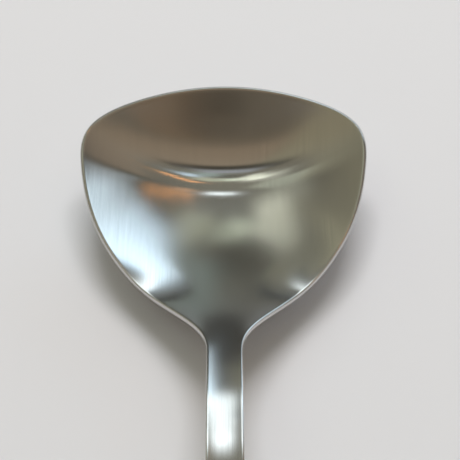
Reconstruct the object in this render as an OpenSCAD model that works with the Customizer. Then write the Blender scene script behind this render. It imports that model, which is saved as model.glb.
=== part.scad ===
// A kitchen ladle, pressed in one piece from a single sheet of steel.
// It lies as it comes to rest, on the bottom of its bowl and the end of its handle.
// The shape is drawn as a curved middle surface, which is then given its thickness.
// s is the distance from the tip of the lip towards the end of the handle, x is
// measured across, and heights are taken from the plane of the bowl's rim.

/* [Sheet] */
// Thickness of the steel sheet
sheet = 1.5; // [1:0.1:2]
// Length of the whole ladle, along the plane of the rim
ladle_l = 305; // [270:5:340]
// How square the edge of the sheet is, where 2 is half round
edge_square = 4; // [2:0.5:6]

/* [Bowl] */
// Width between the sides of the bowl, carried on to the lip
bowl_w = 92; // [84:0.5:100]
// Depth of the bowl below its rim
bowl_depth = 26.5; // [22:0.5:31]
// Radius of the lip, seen from above
lip_r = 75; // [68:1:100]
// Angle of the wall under the lip to the plane of the rim
wall_angle = 52; // [46:1:58]
// Height over which that wall blends into the floor, at its middle
middle_blend = 17; // [12:0.5:20]
// Height over which it blends into the sides, at the corners of the lip
corner_blend = 19; // [14:0.5:24]
// Distance from the lip to where the sides would meet, if there were no handle
side_l = 91.5; // [87:0.5:96]
// How long the sides stay apart before they turn in
side_fullness = 3.3; // [2.8:0.1:4]

/* [Neck] */
// Width over which the sides of the bowl blend into the handle
neck_blend = 24; // [16:0.5:30]
// Angle of the floor as it climbs to the handle
ramp_angle = 38; // [34:0.5:42]
// Distance from the lip to where the floor starts to climb
ramp_start = 42; // [38:0.5:46]
// Softness of the bend at the foot of the climb
ramp_foot = 16; // [11:0.5:18]
// Softness of the bend at the top of the climb
ramp_top = 12.5; // [8:0.5:16]
// Depth over which the bowl's hollow dies out in the neck
hollow_end = 6; // [4:0.1:8]

/* [Handle] */
// Width of the handle at the neck
strap_w = 10.2; // [9:0.1:14]
// Width of the handle at its round end
end_w = 18; // [15:0.5:24]
// Height of the handle above the plane of the rim
handle_rise = 38; // [32:1:44]
// Distance from the lip to where the handle starts to widen
widen_start = 170; // [150:5:190]
// Depth of the handle's slight hollow
strap_hollow = 0.35; // [0.2:0.05:0.6]
// Diameter of the hole to hang it by
hang_hole_d = 7; // [5:0.5:9]

/* [Hidden] */

edge_r = sheet / 2;
mid_l = ladle_l - sheet;
bowl_half = bowl_w / 2 - edge_r;
strap_half = strap_w / 2 - edge_r;
end_half = end_w / 2 - edge_r;
wall_slope = tan(wall_angle);
ramp_slope = tan(ramp_angle);
crest_s = ramp_start + (bowl_depth + handle_rise) / ramp_slope;
hole_s = mid_l - end_half;
neck_s = side_l * pow(1 + (neck_blend - strap_half) / bowl_half, 1 / side_fullness);
handle_s = crest_s + 2 * ramp_top;

// The side points where the curve of the lip ends and the sides begin, and the share
// of the corner's blend that lies ahead of them
corner_share = 0.65;
corner_s = bowl_half * bowl_half / (2 * lip_r) + corner_share * corner_blend / wall_slope;
// Distance behind the corners over which the grid's rows lose the curve of the lip
fan_l = 8;
fan_end_s = corner_s + 1.5 * fan_l;
// Distance ahead of the round end over which the rows take up its curve
cap_l = 16;
// Rows of the grid in each stretch, and columns across it
fan_rows = 18;
bowl_rows = 34;
neck_rows = 14;
handle_rows = 20;
cap_rows = 6;
columns = 22;
// Facets round the edge of the sheet, and the step of its slope measurements
edge_facets = 5;
slope_step = 0.02;
// Steps of each search by halving, and where the search for the bowl's bottom starts
halvings = 26;
bottom_from = 10;
bottom_step = 0.5;
// Number of softnesses past a bend from which it counts as straight
bend_end = 40;

// Formulas of the middle surface
function soft_max(a, b, k) = max(a, b) + pow(max(k - abs(a - b), 0) / k, 3) * k / 6;
function soft_bend(s, at, soft) = soft * ln(1 + exp(min((s - at) / soft, bend_end)))
    + max(s - at - bend_end * soft, 0);
function smooth_step(t) = t * t * (3 - 2 * t);
function unit_clamp(t) = min(max(t, 0), 1);

// Height of the floor along the middle of the ladle
function floor_z(s) = -bowl_depth
    + ramp_slope * (soft_bend(s, ramp_start, ramp_foot) - soft_bend(s, crest_s, ramp_top));
// Depth of the floor below the two edges beside it, and the height of those edges
function hollow(s) = soft_max(-floor_z(s), strap_hollow, hollow_end);
function rim_z(s) = floor_z(s) + hollow(s);

function strap_half_w(s) = strap_half + (end_half - strap_half)
    * smooth_step(unit_clamp((s - widen_start) / (hole_s - widen_start)));
function bowl_half_w(s) = bowl_half * (1 - pow(max(s, 0) / side_l, side_fullness));
function side_half_w(s) = soft_max(bowl_half_w(s), strap_half_w(s), neck_blend);

// The floor is a parabola across, and the wall under the lip is part of a cone
function dish_z(x, s) = floor_z(s) + hollow(s) * pow(x / side_half_w(s), 2);
function wall_z(x, s) = -wall_slope * (s - x * x / (2 * lip_r));
function blend_at(x) = middle_blend
    + (corner_blend - middle_blend) * min(pow(x / bowl_half, 2), 1);
function surface_z(x, s) = soft_max(wall_z(x, s), dish_z(x, s), blend_at(x));

// Unit normal of the middle surface, upwards
function unit(v) = v / norm(v);
function surface_normal(x, s) = unit([
    (surface_z(x - slope_step, s) - surface_z(x + slope_step, s)) / (2 * slope_step),
    (surface_z(x, s + slope_step) - surface_z(x, s - slope_step)) / (2 * slope_step),
    1]);

// Half width of the middle surface at a distance s, found by halving
function rim_x(s, low = 0, high = -1, n = halvings) =
    let (top = high < 0 ? side_half_w(s) : high, x = (low + top) / 2)
    n == 0 ? x
    : surface_z(x, s) < rim_z(s) ? rim_x(s, x, top, n - 1)
    : rim_x(s, low, x, n - 1);

// The lip, found by halving along rays that leave the point between the two corners
corner_x = rim_x(corner_s);
function ray(turn, r) = [r * corner_x * sin(turn), corner_s - r * corner_s * cos(turn)];
function lip_reach(turn, low = 0.5, high = 1.5, n = halvings) =
    let (r = (low + high) / 2, p = ray(turn, r))
    n == 0 ? r
    : surface_z(p[0], p[1]) < rim_z(p[1]) ? lip_reach(turn, r, high, n - 1)
    : lip_reach(turn, low, r, n - 1);

// Distances of the rows at the sides, from the corners of the lip to the round end
function rows(from, to, count) = [for (i = [1 : count]) from + (to - from) * i / count];
row_s = concat([corner_s],
    rows(corner_s, fan_end_s, fan_rows),
    rows(fan_end_s, neck_s, bowl_rows),
    rows(neck_s, handle_s, neck_rows),
    rows(handle_s, hole_s - cap_l, handle_rows),
    rows(hole_s - cap_l, hole_s, cap_rows));
last_row = len(row_s) - 1;

column_u = [for (j = [0 : columns]) 2 * j / columns - 1];
lip = [for (u = column_u) ray(90 * u, abs(u) == 1 ? 1 : lip_reach(90 * u))];

// Each row fades from the curve of the lip to straight, and at the end to a half circle
function row_points(s) =
    let (fan = exp(-(s - corner_s) / fan_l),
         cap = pow(unit_clamp((s - hole_s) / cap_l + 1), 2),
         half = rim_x(s))
    [for (j = [0 : columns])
        let (u = column_u[j],
             share = fan * lip[j][0] / corner_x + cap * sin(90 * u) + (1 - fan - cap) * u)
        [half * share, s - fan * (corner_s - lip[j][1]) + cap * end_half * cos(90 * u)]];
grid = [for (s = row_s) each row_points(s)];

function middle_point(p) = [p[0], -p[1], surface_z(p[0], p[1])];
middles = [for (p = grid) middle_point(p)];
normals = [for (p = grid) surface_normal(p[0], p[1])];
grid_size = len(grid);

// The grid points round the outline, clockwise from above, starting at the left corner
function at(i, j) = i * (columns + 1) + j;
outline = concat(
    [for (j = [0 : columns - 1]) at(0, j)],
    [for (i = [0 : last_row - 1]) at(i, columns)],
    [for (j = [columns : -1 : 1]) at(last_row, j)],
    [for (i = [last_row : -1 : 1]) at(i, 0)]);
outline_size = len(outline);

// The rounded edge: its points between the upper and the lower face
ring_size = edge_facets - 1;
function squared(share) = sign(share) * pow(abs(share), 2 / edge_square);
function ring_point(k, turn) =
    let (p = outline[k],
         ahead = middles[outline[(k + 1) % outline_size]],
         behind = middles[outline[(k + outline_size - 1) % outline_size]],
         out = unit(cross(normals[p], ahead - behind)))
    middles[p] + edge_r * (squared(cos(turn)) * out + squared(sin(turn)) * normals[p]);
ring = [for (k = [0 : outline_size - 1]) for (m = [1 : ring_size])
    ring_point(k, 90 - 180 * m / edge_facets)];

shell_points = concat(
    [for (i = [0 : grid_size - 1]) middles[i] + edge_r * normals[i]],
    [for (i = [0 : grid_size - 1]) middles[i] - edge_r * normals[i]],
    ring);

// Corner m of the edge at outline point k, from the upper face down to the lower one
function edge_index(k, m) =
    m == 0 ? outline[k % outline_size]
    : m == edge_facets ? grid_size + outline[k % outline_size]
    : 2 * grid_size + (k % outline_size) * ring_size + m - 1;
function split(a, b, c, d) = [[a, b, c], [a, c, d]];
shell_faces = concat(
    [for (i = [0 : last_row - 1]) for (j = [0 : columns - 1])
        each split(at(i, j), at(i, j + 1), at(i + 1, j + 1), at(i + 1, j))],
    [for (i = [0 : last_row - 1]) for (j = [0 : columns - 1])
        each split(grid_size + at(i + 1, j), grid_size + at(i + 1, j + 1),
                   grid_size + at(i, j + 1), grid_size + at(i, j))],
    [for (k = [0 : outline_size - 1]) for (m = [0 : edge_facets - 1])
        each split(edge_index(k + 1, m), edge_index(k, m),
                   edge_index(k, m + 1), edge_index(k + 1, m + 1))]);

// The tilt at rest: the line that touches the handle's end and the bottom of the bowl
function under_point(s) = middle_point([0, s]) - edge_r * surface_normal(0, s);
end_under = under_point(mid_l);
rest_tilt = -min([for (s = [bottom_from : bottom_step : side_l])
    let (p = under_point(s)) atan2(p[2] - end_under[2], p[1] - end_under[1])]);
function tilted_y(p) = p[1] * cos(rest_tilt) - p[2] * sin(rest_tilt);
function tilted_z(p) = p[1] * sin(rest_tilt) + p[2] * cos(rest_tilt);
tilted_ys = [for (p = shell_points) tilted_y(p)];
rest_shift = [0, -(max(tilted_ys) + min(tilted_ys)) / 2, -min([for (p = shell_points) tilted_z(p)])];

module pressed_shell() {
    polyhedron(points = shell_points, faces = shell_faces, convexity = 6);
}

module hanging_hole() {
    translate([0, -hole_s, floor_z(hole_s)])
        cylinder(d = hang_hole_d, h = 6 * sheet, center = true, $fn = 48);
}

module ladle() {
    color("silver")
        translate(rest_shift)
            rotate([rest_tilt, 0, 0])
                difference() {
                    pressed_shell();
                    hanging_hole();
                }
}

ladle();
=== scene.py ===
# A kitchen ladle pressed in one piece from satin-brushed steel, lying on a pale floor.
import math

import bpy
import numpy as np
from mathutils import Matrix, Vector


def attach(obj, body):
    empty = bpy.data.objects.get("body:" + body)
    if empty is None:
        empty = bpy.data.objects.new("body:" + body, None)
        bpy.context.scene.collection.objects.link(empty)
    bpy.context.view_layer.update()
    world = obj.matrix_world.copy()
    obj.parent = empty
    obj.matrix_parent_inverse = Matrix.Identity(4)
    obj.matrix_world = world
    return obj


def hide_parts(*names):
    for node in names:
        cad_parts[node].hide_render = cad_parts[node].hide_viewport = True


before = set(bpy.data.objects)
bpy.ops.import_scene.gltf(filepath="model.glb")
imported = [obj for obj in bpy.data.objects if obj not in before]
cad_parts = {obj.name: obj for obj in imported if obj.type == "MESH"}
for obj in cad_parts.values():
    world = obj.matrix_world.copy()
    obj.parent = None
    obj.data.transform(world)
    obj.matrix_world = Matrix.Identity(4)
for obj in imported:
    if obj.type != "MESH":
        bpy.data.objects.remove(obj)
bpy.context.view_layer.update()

# Driving sizes, in millimetres, the same as the part's own
SHEET = 1.5
LADLE_L = 305.0
EDGE_SQUARE = 4.0
BOWL_W = 92.0
BOWL_DEPTH = 26.5
LIP_R = 75.0
WALL_ANGLE = 52.0
MIDDLE_BLEND = 17.0
CORNER_BLEND = 19.0
SIDE_L = 91.5
SIDE_FULLNESS = 3.3
NECK_BLEND = 24.0
RAMP_ANGLE = 38.0
RAMP_START = 42.0
RAMP_FOOT = 16.0
RAMP_TOP = 12.5
HOLLOW_END = 6.0
STRAP_W = 10.2
END_W = 18.0
HANDLE_RISE = 38.0
WIDEN_START = 170.0
STRAP_HOLLOW = 0.35
HANG_HOLE_D = 7.0

# Sizes that follow from them. An s is a distance from the lip towards the handle's end,
# and the corners are the points where the curve of the lip ends and the sides begin
EDGE_R = SHEET / 2
MID_L = LADLE_L - SHEET
BOWL_HALF = BOWL_W / 2 - EDGE_R
STRAP_HALF = STRAP_W / 2 - EDGE_R
END_HALF = END_W / 2 - EDGE_R
WALL_SLOPE = math.tan(math.radians(WALL_ANGLE))
RAMP_SLOPE = math.tan(math.radians(RAMP_ANGLE))
CREST_S = RAMP_START + (BOWL_DEPTH + HANDLE_RISE) / RAMP_SLOPE
HOLE_S = MID_L - END_HALF
NECK_S = SIDE_L * (1 + (NECK_BLEND - STRAP_HALF) / BOWL_HALF) ** (1 / SIDE_FULLNESS)
HANDLE_S = CREST_S + 2 * RAMP_TOP
CORNER_SHARE = 0.65
CORNER_S = BOWL_HALF ** 2 / (2 * LIP_R) + CORNER_SHARE * CORNER_BLEND / WALL_SLOPE

# The grid of the shell: rows along it, columns across it, facets round its edge. Its rows
# lose the curve of the lip over FAN_L, and take up the curve of the round end over CAP_L
FAN_L = 8.0
FAN_END_S = CORNER_S + 1.5 * FAN_L
CAP_L = 16.0
FAN_ROWS = 56
BOWL_ROWS = 92
NECK_ROWS = 40
HANDLE_ROWS = 60
CAP_ROWS = 24
COLUMNS = 88
EDGE_FACETS = 12
SHARP_ANGLE = 35.0
HOLE_SIDES = 96
HOLE_BEVEL = 0.25
HOLE_FLARE = 8 * HOLE_BEVEL

# The step of the slope measurements, and the steps of each search by halving
SLOPE_STEP = 0.02
HALVINGS = 30
# The lip is searched along rays, between these shares of the distance to a corner
LIP_NEAREST = 0.5
LIP_FARTHEST = 1.5
# Where the search for the bowl's bottom starts, and its step
BOTTOM_FROM = 10.0
BOTTOM_STEP = 0.5

MM = 0.001


# Formulas of the shell's middle surface: x across, s from the lip to the handle's end
def soft_max(a, b, k):
    """The larger of a and b, rounded off where they differ by less than k."""
    near = np.maximum(k - np.abs(a - b), 0) / k
    return np.maximum(a, b) + near ** 3 * k / 6


def soft_bend(s, at, soft):
    """0 before the bend and the distance past it after, with a soft corner."""
    return soft * np.logaddexp(0, (s - at) / soft)


def floor_z(s):
    """Height of the floor along the middle of the ladle."""
    foot = soft_bend(s, RAMP_START, RAMP_FOOT)
    top = soft_bend(s, CREST_S, RAMP_TOP)
    return -BOWL_DEPTH + RAMP_SLOPE * (foot - top)


def hollow(s):
    """Depth of the floor below the two edges beside it."""
    return soft_max(-floor_z(s), STRAP_HOLLOW, HOLLOW_END)


def rim_z(s):
    """Height of those edges."""
    return floor_z(s) + hollow(s)


def strap_half_w(s):
    """Half width of the handle, which widens towards its round end."""
    t = np.clip((s - WIDEN_START) / (HOLE_S - WIDEN_START), 0, 1)
    return STRAP_HALF + (END_HALF - STRAP_HALF) * t * t * (3 - 2 * t)


def side_half_w(s):
    """Half width between the sides of the bowl, blended into the handle."""
    bowl = BOWL_HALF * (1 - (np.maximum(s, 0) / SIDE_L) ** SIDE_FULLNESS)
    return soft_max(bowl, strap_half_w(s), NECK_BLEND)


def surface_z(x, s):
    """A floor that is a parabola across, and a wall under the lip that is part of a cone."""
    dish = floor_z(s) + hollow(s) * (x / side_half_w(s)) ** 2
    wall = -WALL_SLOPE * (s - x * x / (2 * LIP_R))
    at_side = np.minimum((x / BOWL_HALF) ** 2, 1)
    blend = MIDDLE_BLEND + (CORNER_BLEND - MIDDLE_BLEND) * at_side
    return soft_max(wall, dish, blend)


def unit(v):
    return v / np.linalg.norm(v, axis=-1)[..., None]


def surface_normal(x, s):
    """Unit normal of the middle surface, upwards."""
    slope_x = surface_z(x + SLOPE_STEP, s) - surface_z(x - SLOPE_STEP, s)
    slope_s = surface_z(x, s + SLOPE_STEP) - surface_z(x, s - SLOPE_STEP)
    return unit(np.stack([-slope_x, slope_s, np.full_like(slope_x, 2 * SLOPE_STEP)], -1))


def middle_point(x, s):
    return np.stack([x, -s, surface_z(x, s)], -1)


def halving(low, high, is_inside):
    """The value between low and high where is_inside turns false, for whole arrays."""
    for _ in range(HALVINGS):
        middle = (low + high) / 2
        inside = is_inside(middle)
        low = np.where(inside, middle, low)
        high = np.where(inside, high, middle)
    return (low + high) / 2


def rim_x(s):
    """Half width of the middle surface at a distance s."""
    return halving(np.zeros_like(s), side_half_w(s), lambda x: surface_z(x, s) < rim_z(s))


def lip_curve(turns):
    """The lip's points, on rays that leave the point between the two corners."""
    corner_x = rim_x(np.array([CORNER_S]))[0]

    def ray(r):
        return r * corner_x * np.sin(turns), CORNER_S * (1 - r * np.cos(turns))

    def is_inside(r):
        x, s = ray(r)
        return surface_z(x, s) < rim_z(s)

    nearest = np.full_like(turns, LIP_NEAREST)
    farthest = np.full_like(turns, LIP_FARTHEST)
    reach = halving(nearest, farthest, is_inside)
    # The first and the last ray end at the corners themselves
    reach[0] = reach[-1] = 1
    x, s = ray(reach)
    return x / corner_x, s


def rows_between(start, stop, count):
    return np.linspace(start, stop, count + 1)[1:]


def shell_grid():
    """The x and s of every grid point, with one row for each distance along the sides."""
    rows = np.concatenate([
        [CORNER_S],
        rows_between(CORNER_S, FAN_END_S, FAN_ROWS),
        rows_between(FAN_END_S, NECK_S, BOWL_ROWS),
        rows_between(NECK_S, HANDLE_S, NECK_ROWS),
        rows_between(HANDLE_S, HOLE_S - CAP_L, HANDLE_ROWS),
        rows_between(HOLE_S - CAP_L, HOLE_S, CAP_ROWS)])[:, None]
    u = np.linspace(-1, 1, COLUMNS + 1)[None, :]
    turns = u * math.pi / 2
    lip_share, lip_s = lip_curve(turns[0])
    fan = np.exp(-(rows - CORNER_S) / FAN_L)
    cap = np.clip((rows - HOLE_S) / CAP_L + 1, 0, 1) ** 2
    share = fan * lip_share + cap * np.sin(turns) + (1 - fan - cap) * u
    s = rows - fan * (CORNER_S - lip_s) + cap * END_HALF * np.cos(turns)
    return rim_x(rows) * share, s


def rest_tilt():
    """The tilt at which the bowl's bottom and the handle's end touch the floor together."""
    s = np.arange(BOTTOM_FROM, SIDE_L + BOTTOM_STEP / 2, BOTTOM_STEP)
    under = middle_point(0 * s, s) - EDGE_R * surface_normal(0 * s, s)
    end_s = np.array([MID_L])
    end = (middle_point(0 * end_s, end_s) - EDGE_R * surface_normal(0 * end_s, end_s))[0]
    return -np.arctan2(under[:, 2] - end[2], under[:, 1] - end[1]).min()


def tilted(points, tilt):
    y = points[:, 1] * math.cos(tilt) - points[:, 2] * math.sin(tilt)
    z = points[:, 1] * math.sin(tilt) + points[:, 2] * math.cos(tilt)
    return np.stack([points[:, 0], y, z], -1)


# The ladle's mesh: an upper and a lower face, and the rounded edge between them
def outline_of(row_count, column_count):
    """The grid points round the outline, clockwise from above, from the left corner."""
    last_row = row_count - 1
    last = column_count - 1
    front = list(range(last))
    right = [i * column_count + last for i in range(last_row)]
    back = [last_row * column_count + j for j in range(last, 0, -1)]
    left = [i * column_count for i in range(last_row, 0, -1)]
    return np.array(front + right + back + left)


def squared(share):
    """A cosine or sine, changed so that it draws a rounded square in place of a circle."""
    return math.copysign(abs(share) ** (2 / EDGE_SQUARE), share)


def edge_points(outline, middles, normals):
    """The edge's points, from the upper to the lower face at each point of the outline."""
    ahead = middles[np.roll(outline, -1)]
    behind = middles[np.roll(outline, 1)]
    up = normals[outline]
    out = unit(np.cross(up, ahead - behind))
    ring = []
    for turn in math.pi / 2 - math.pi * np.arange(1, EDGE_FACETS) / EDGE_FACETS:
        reach = squared(math.cos(turn)) * out + squared(math.sin(turn)) * up
        ring.append(middles[outline] + EDGE_R * reach)
    return np.stack(ring, 1).reshape(-1, 3)


def shell_faces(row_count, column_count, outline):
    """Quads of the upper and lower face, and of the chains that join them at the edge."""
    size = row_count * column_count
    row_starts = np.arange(row_count - 1)[:, None] * column_count
    first = (row_starts + np.arange(column_count - 1)).ravel()
    upper = np.stack([first, first + column_count, first + column_count + 1, first + 1], -1)
    lower = upper[:, ::-1] + size
    count = len(outline)
    steps = np.arange(count)
    ring = 2 * size + steps[:, None] * (EDGE_FACETS - 1) + np.arange(EDGE_FACETS - 1)
    chain = np.concatenate([outline[:, None], ring, outline[:, None] + size], 1)
    following = np.roll(chain, -1, 0)
    edge = np.stack([chain[:, :-1], following[:, :-1], following[:, 1:], chain[:, 1:]], -1)
    return np.concatenate([upper, lower, edge.reshape(-1, 4)])


def build_ladle():
    x, s = shell_grid()
    row_count, column_count = x.shape
    x, s = x.ravel(), s.ravel()
    middles = middle_point(x, s)
    normals = surface_normal(x, s)
    outline = outline_of(row_count, column_count)
    ring = edge_points(outline, middles, normals)
    points = np.concatenate([middles + EDGE_R * normals, middles - EDGE_R * normals, ring])
    layout = np.stack([points[:, 0], -points[:, 1]], -1) / LADLE_L
    # Laid down at rest, on the floor and over the middle of its footprint
    tilt = rest_tilt()
    points = tilted(points, tilt)
    shift = np.array([0, -(points[:, 1].max() + points[:, 1].min()) / 2, -points[:, 2].min()])
    points = (points + shift) * MM
    faces = shell_faces(row_count, column_count, outline)
    mesh = bpy.data.meshes.new("ladle_shell")
    mesh.from_pydata(points.tolist(), [], faces.tolist())
    layer = mesh.uv_layers.new(name="brushing")
    corners = np.empty(len(mesh.loops), dtype=np.int64)
    mesh.loops.foreach_get("vertex_index", corners)
    layer.data.foreach_set("uv", layout[corners].astype(np.float32).ravel())
    mesh.validate()
    piece = bpy.data.objects.new("ladle_shell", mesh)
    bpy.context.scene.collection.objects.link(piece)
    hole = tilted(np.array([[0, -HOLE_S, float(floor_z(HOLE_S))]]), tilt)[0] + shift
    cut_hanging_hole(piece, Vector(hole * MM), tilt)
    mesh = piece.data
    mesh.shade_smooth()
    mesh.set_sharp_from_angle(angle=math.radians(SHARP_ANGLE))
    return piece


def cut_hanging_hole(piece, centre, tilt):
    """Cut the hole with a spool, whose flared ends break the hole's two edges."""
    bevel = HOLE_BEVEL * MM
    flare = HOLE_FLARE * MM
    r = HANG_HOLE_D / 2 * MM
    half = EDGE_R * MM
    profile = [
        (r + flare, half + flare),
        (r, half - bevel),
        (r, bevel - half),
        (r + flare, -half - flare)]
    points = []
    for radius, height in profile:
        for k in range(HOLE_SIDES):
            turn = 2 * math.pi * k / HOLE_SIDES
            points.append((radius * math.cos(turn), radius * math.sin(turn), height))
    top = list(range(HOLE_SIDES))
    bottom = list(range(len(points) - 1, len(points) - HOLE_SIDES - 1, -1))
    faces = [top, bottom]
    for level in range(len(profile) - 1):
        for k in range(HOLE_SIDES):
            a = level * HOLE_SIDES + k
            b = level * HOLE_SIDES + (k + 1) % HOLE_SIDES
            faces.append([a, a + HOLE_SIDES, b + HOLE_SIDES, b])
    mesh = bpy.data.meshes.new("hole_cutter")
    mesh.from_pydata(points, [], faces)
    cutter = bpy.data.objects.new("hole_cutter", mesh)
    bpy.context.scene.collection.objects.link(cutter)
    cutter.location = centre
    cutter.rotation_euler = (tilt, 0, 0)
    cut = piece.modifiers.new("hole", "BOOLEAN")
    cut.operation = "DIFFERENCE"
    cut.solver = "EXACT"
    cut.object = cutter
    bpy.context.view_layer.update()
    evaluated = piece.evaluated_get(bpy.context.evaluated_depsgraph_get())
    finished = bpy.data.meshes.new_from_object(evaluated)
    piece.modifiers.clear()
    piece.data = finished
    bpy.data.objects.remove(cutter)


# Scales of the noise in the steel, in waves to a millimetre across and along the ladle:
# fine lines of the brushing, wider bands of it, and faint clouds of handling
FINE_LINES = (4.5, 0.05, 1)
WIDE_BANDS = (1.4, 0.012, 1)
CLOUDS = (0.06, 0.04, 1)
FINE_SHARE = 0.8
BAND_SHARE = 0.2
# Each kind of noise rises from nothing to its full effect between two values
LINES_FROM = 0.3
LINES_TO = 0.7
CLOUDS_FROM = 0.35
CLOUDS_TO = 0.75
STEEL_DARK = (0.57, 0.565, 0.55, 1)
STEEL_LIGHT = (0.63, 0.62, 0.60, 1)
ROUGH_IN_DARK = 0.18
ROUGH_IN_LIGHT = 0.16
ROUGH_IN_CLOUDS = 0.02
BRUSHING_STRENGTH = 0.025
BRUSHING_DEPTH = 0.05

# The pale floor and its half width, in metres
FLOOR_COLOUR = (0.71, 0.70, 0.73, 1)
FLOOR_HALF_W = 3.0


# Materials and their node trees
class Nodes:
    """Short calls that add nodes to one tree and wire them."""

    def __init__(self, owner):
        owner.use_nodes = True
        self.tree = owner.node_tree
        self.tree.nodes.clear()

    def add(self, kind, **settings):
        node = self.tree.nodes.new(kind)
        for name, value in settings.items():
            setattr(node, name, value)
        return node

    def link(self, source, target):
        self.tree.links.new(source, target)

    def fill(self, socket, value):
        if isinstance(value, bpy.types.NodeSocket):
            self.link(value, socket)
        else:
            socket.default_value = value

    def math(self, operation, a, b=0.0):
        node = self.add("ShaderNodeMath", operation=operation)
        self.fill(node.inputs[0], a)
        self.fill(node.inputs[1], b)
        return node.outputs[0]

    def ramp(self, value, low, high, to_low=0.0, to_high=1.0):
        """A smooth step, from to_low where the value is low to to_high where it is high."""
        node = self.add("ShaderNodeMapRange", interpolation_type="SMOOTHSTEP")
        for socket, amount in zip(node.inputs, (value, low, high, to_low, to_high)):
            self.fill(socket, amount)
        return node.outputs[0]

    def mix(self, share, a, b, blend="MIX", label=""):
        """Mix two colours, which are sockets 6 and 7 of the node."""
        node = self.add("ShaderNodeMix", data_type="RGBA", blend_type=blend, label=label)
        self.fill(node.inputs["Factor"], share)
        self.fill(node.inputs[6], a)
        self.fill(node.inputs[7], b)
        return node.outputs[2]

    def stretched(self, vector, scale):
        node = self.add("ShaderNodeMapping")
        self.link(vector, node.inputs["Vector"])
        node.inputs["Scale"].default_value = scale
        return node.outputs[0]

    def noise(self, vector, scale, detail):
        """Noise with a scale of its own in each direction."""
        node = self.add("ShaderNodeTexNoise")
        self.link(self.stretched(vector, scale), node.inputs["Vector"])
        node.inputs["Scale"].default_value = 1.0
        node.inputs["Detail"].default_value = detail
        return node.outputs[0]


def brushed_steel():
    material = bpy.data.materials.new("brushed_steel")
    nodes = Nodes(material)
    shader = nodes.add("ShaderNodeBsdfPrincipled")
    output = nodes.add("ShaderNodeOutputMaterial")
    nodes.link(shader.outputs[0], output.inputs[0])
    layout = nodes.add("ShaderNodeUVMap", uv_map="brushing").outputs[0]
    in_mm = nodes.stretched(layout, (LADLE_L, LADLE_L, 1))
    fine = nodes.noise(in_mm, FINE_LINES, detail=3.0)
    bands = nodes.noise(in_mm, WIDE_BANDS, detail=2.0)
    clouds = nodes.noise(in_mm, CLOUDS, detail=3.0)
    lines = nodes.math(
        "ADD",
        nodes.math("MULTIPLY", fine, FINE_SHARE),
        nodes.math("MULTIPLY", bands, BAND_SHARE))
    colour = nodes.mix(nodes.ramp(lines, LINES_FROM, LINES_TO), STEEL_DARK, STEEL_LIGHT)
    nodes.link(colour, shader.inputs["Base Color"])
    rough = nodes.math(
        "ADD",
        nodes.ramp(lines, LINES_FROM, LINES_TO, ROUGH_IN_DARK, ROUGH_IN_LIGHT),
        nodes.ramp(clouds, CLOUDS_FROM, CLOUDS_TO, 0.0, ROUGH_IN_CLOUDS))
    nodes.link(rough, shader.inputs["Roughness"])
    shader.inputs["Metallic"].default_value = 1.0
    shader.inputs["Anisotropic"].default_value = 0.8
    tangent = nodes.add("ShaderNodeTangent", direction_type="UV_MAP", uv_map="brushing")
    nodes.link(tangent.outputs[0], shader.inputs["Tangent"])
    bump = nodes.add("ShaderNodeBump")
    bump.inputs["Strength"].default_value = BRUSHING_STRENGTH
    bump.inputs["Distance"].default_value = BRUSHING_DEPTH * MM
    nodes.link(lines, bump.inputs["Height"])
    nodes.link(bump.outputs[0], shader.inputs["Normal"])
    return material


def pale_floor():
    material = bpy.data.materials.new("pale_floor")
    nodes = Nodes(material)
    shader = nodes.add("ShaderNodeBsdfPrincipled")
    output = nodes.add("ShaderNodeOutputMaterial")
    nodes.link(shader.outputs[0], output.inputs[0])
    shader.inputs["Base Color"].default_value = FLOOR_COLOUR
    shader.inputs["Roughness"].default_value = 0.75
    return material


def lay_floor():
    mesh = bpy.data.meshes.new("floor")
    half = FLOOR_HALF_W
    corners = [(-half, -half, 0), (half, -half, 0), (half, half, 0), (-half, half, 0)]
    mesh.from_pydata(corners, [], [(0, 1, 2, 3)])
    floor = bpy.data.objects.new("floor", mesh)
    bpy.context.scene.collection.objects.link(floor)
    mesh.materials.append(pale_floor())


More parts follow.
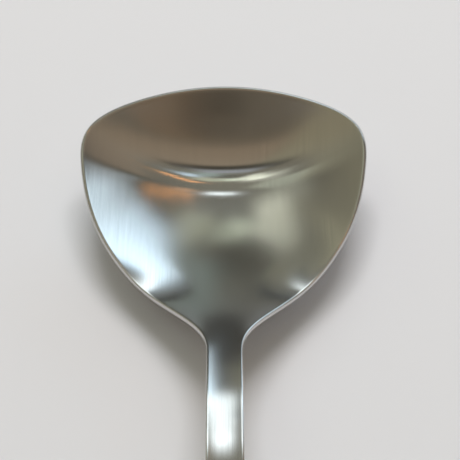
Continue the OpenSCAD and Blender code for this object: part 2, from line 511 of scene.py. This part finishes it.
# The studio's light: soft panels, each given by its bearing to the right from straight
# ahead of the camera, its height above the horizon, its half width, half height and
# softness, all in degrees, and the light that it adds
PANELS = [
    ("cool panel right", 30, 19, 19, 6, 7, (1.15, 1.46, 1.70)),
    ("cool panel right, upper part", 25, 26, 11, 3, 7, (0.40, 0.58, 0.75)),
    ("white panel ahead", 3, 42, 10, 10, 7, (1.60, 1.80, 1.90)),
    ("white panel ahead, upper part", 2, 54, 12, 3, 5, (0.50, 0.56, 0.60)),
    ("pale panel left", -54, 46, 12, 10, 8, (0.32, 0.36, 0.29)),
    ("pale panel left, upper part", -86, 60, 12, 10, 7, (0.34, 0.36, 0.31)),
    ("white panel behind left", -110, 66, 21, 6, 4, (1.15, 1.22, 1.03)),
    ("pale panel overhead left", -140, 80, 16, 2, 4, (0.60, 0.66, 0.55)),
    ("cool panel behind right", 122, 60, 9, 2, 4, (0.90, 1.25, 1.60)),
    ("grey panel behind right", 156, 61, 15, 3, 6, (0.20, 0.32, 0.34)),
    ("pale panel overhead right", 120, 76, 20, 4, 8, (0.45, 0.50, 0.36)),
    ("warm strip, lower part", 90, 52, 2, 2, 2, (3.00, 1.25, 0.35)),
    ("warm strip, middle", 83, 59, 2, 2, 2, (3.40, 1.40, 0.40)),
    ("warm strip, upper part", 73, 67, 3, 2, 3, (2.60, 1.10, 0.35)),
    ("warm panel ahead right", 36, 47, 4, 3, 4, (0.60, 0.30, 0.14)),
    ("warm panel low behind", 160, 5, 10, 2, 4, (0.07, 0.025, 0.0)),
    ("grey panel low ahead left", -22, 25, 14, 8, 6, (0.12, 0.12, 0.08)),
    ("cool strip behind", 184, 51, 30, 3, 4, (0.20, 0.24, 0.32)),
    ("warm panel behind", 133, 24, 71, 9, 7, (0.17, 0.12, 0.08)),
    ("warm panel left", -92, 18, 54, 11, 10, (0.17, 0.16, 0.10)),
    ("pale panel overhead behind", -156, 80, 45, 3, 4, (0.45, 0.54, 0.42)),
]
# Dark screens in the studio, given in the same way, with the share of light that they take
SCREENS = [
    ("screen behind", 184, 40, 50, 2, 5, 0.7),
    ("low screen behind", 176, 2, 9, 4, 4, 0.5),
    ("screen ahead left", -14, 33, 4, 5, 4, 0.6),
    ("low screen ahead", -1, 10, 5, 3, 5, 0.5),
    ("high screen behind", -162, 69, 24, 4, 4, 0.5),
]
# The light between them: low down behind and ahead of the camera, and high up
LOW_BEHIND = (0.16, 0.135, 0.10, 1)
LOW_AHEAD = (0.11, 0.105, 0.09, 1)
HIGH = (0.28, 0.27, 0.22, 1)
# It passes from low to high between two heights in degrees, and from behind to ahead
# between two values of how far forward a direction points
LOW_UNTIL = 5
HIGH_FROM = 70
BEHIND_UNTIL = -0.6
AHEAD_FROM = 0.5
BLACK = (0, 0, 0, 1)


def studio_light():
    world = bpy.data.worlds.new("studio")
    bpy.context.scene.world = world
    nodes = Nodes(world)
    direction = nodes.add("ShaderNodeTexCoord").outputs["Generated"]
    split = nodes.add("ShaderNodeSeparateXYZ")
    nodes.link(direction, split.inputs[0])
    to_degrees = 180 / math.pi
    bearing = nodes.math("ARCTAN2", split.outputs[0], split.outputs[1])
    height = nodes.math("MULTIPLY", nodes.math("ARCSINE", split.outputs[2]), to_degrees)
    ahead = nodes.ramp(split.outputs[1], BEHIND_UNTIL, AHEAD_FROM)
    low = nodes.mix(ahead, LOW_BEHIND, LOW_AHEAD)
    colour = nodes.mix(nodes.ramp(height, LOW_UNTIL, HIGH_FROM), low, HIGH)

    def mask(its_bearing, its_height, half_w, half_h, softness):
        """1 inside a panel or screen, 0 beyond its soft edge."""
        turn = nodes.math("SUBTRACT", bearing, math.radians(its_bearing))
        shortest_turn = nodes.math("ARCCOSINE", nodes.math("COSINE", turn))
        across = nodes.math("MULTIPLY", shortest_turn, to_degrees)
        up = nodes.math("ABSOLUTE", nodes.math("SUBTRACT", height, its_height))
        return nodes.math(
            "MULTIPLY",
            nodes.ramp(across, half_w, half_w + softness, 1.0, 0.0),
            nodes.ramp(up, half_h, half_h + softness, 1.0, 0.0))

    for name, *place, light in PANELS:
        colour = nodes.mix(mask(*place), colour, light + (1,), "ADD", label=name)
    for name, *place, share in SCREENS:
        taken = nodes.math("MULTIPLY", mask(*place), share)
        colour = nodes.mix(taken, colour, BLACK, label=name)
    background = nodes.add("ShaderNodeBackground")
    nodes.link(colour, background.inputs["Color"])
    background.inputs["Strength"].default_value = 1.0
    output = nodes.add("ShaderNodeOutputWorld")
    nodes.link(background.outputs[0], output.inputs[0])


def add_lamp(name, bearing, height, distance, width, depth, energy):
    """An area lamp, in metres, that faces the bowl but isn't mirrored in it."""
    target = Vector((0, 100 * MM, 20 * MM))
    turn = math.radians(bearing)
    elevation = math.radians(height)
    level = math.cos(elevation)
    direction = Vector((level * math.sin(turn), level * math.cos(turn), math.sin(elevation)))
    lamp = bpy.data.lights.new(name, "AREA")
    lamp.shape = "RECTANGLE"
    lamp.size = width
    lamp.size_y = depth
    lamp.energy = energy
    holder = bpy.data.objects.new(name, lamp)
    holder.location = target + direction * distance
    holder.rotation_euler = (-direction).to_track_quat("-Z", "Y").to_euler()
    holder.visible_glossy = False
    bpy.context.scene.collection.objects.link(holder)


def place_camera():
    """The photograph's camera: it looks down on the bowl from the handle's side."""
    distance = 420 * MM
    elevation = math.radians(50)
    turn = math.radians(-0.165)
    roll = math.radians(-0.295)
    target = Vector((1.86 * MM, 99.3 * MM, 20 * MM))
    level = math.cos(elevation)
    away = Vector((math.sin(turn) * level, -math.cos(turn) * level, math.sin(elevation)))
    camera = bpy.data.cameras.new("camera")
    camera.lens = 107.4
    camera.sensor_width = 36
    holder = bpy.data.objects.new("camera", camera)
    holder.location = target + away * distance
    aim = (-away).to_track_quat("-Z", "Y").to_matrix().to_4x4()
    holder.rotation_euler = (aim @ Matrix.Rotation(roll, 4, "Z")).to_euler()
    bpy.context.scene.collection.objects.link(holder)
    bpy.context.scene.camera = holder


place_camera()
ladle = build_ladle()
ladle.data.materials.clear()
ladle.data.materials.append(brushed_steel())
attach(ladle, "root")
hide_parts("ladle")
lay_floor()
studio_light()
add_lamp("key", bearing=6, height=69, distance=1.6, width=0.9, depth=0.5, energy=16)
bpy.context.scene.view_settings.view_transform = "Standard"

bpy.context.view_layer.update()
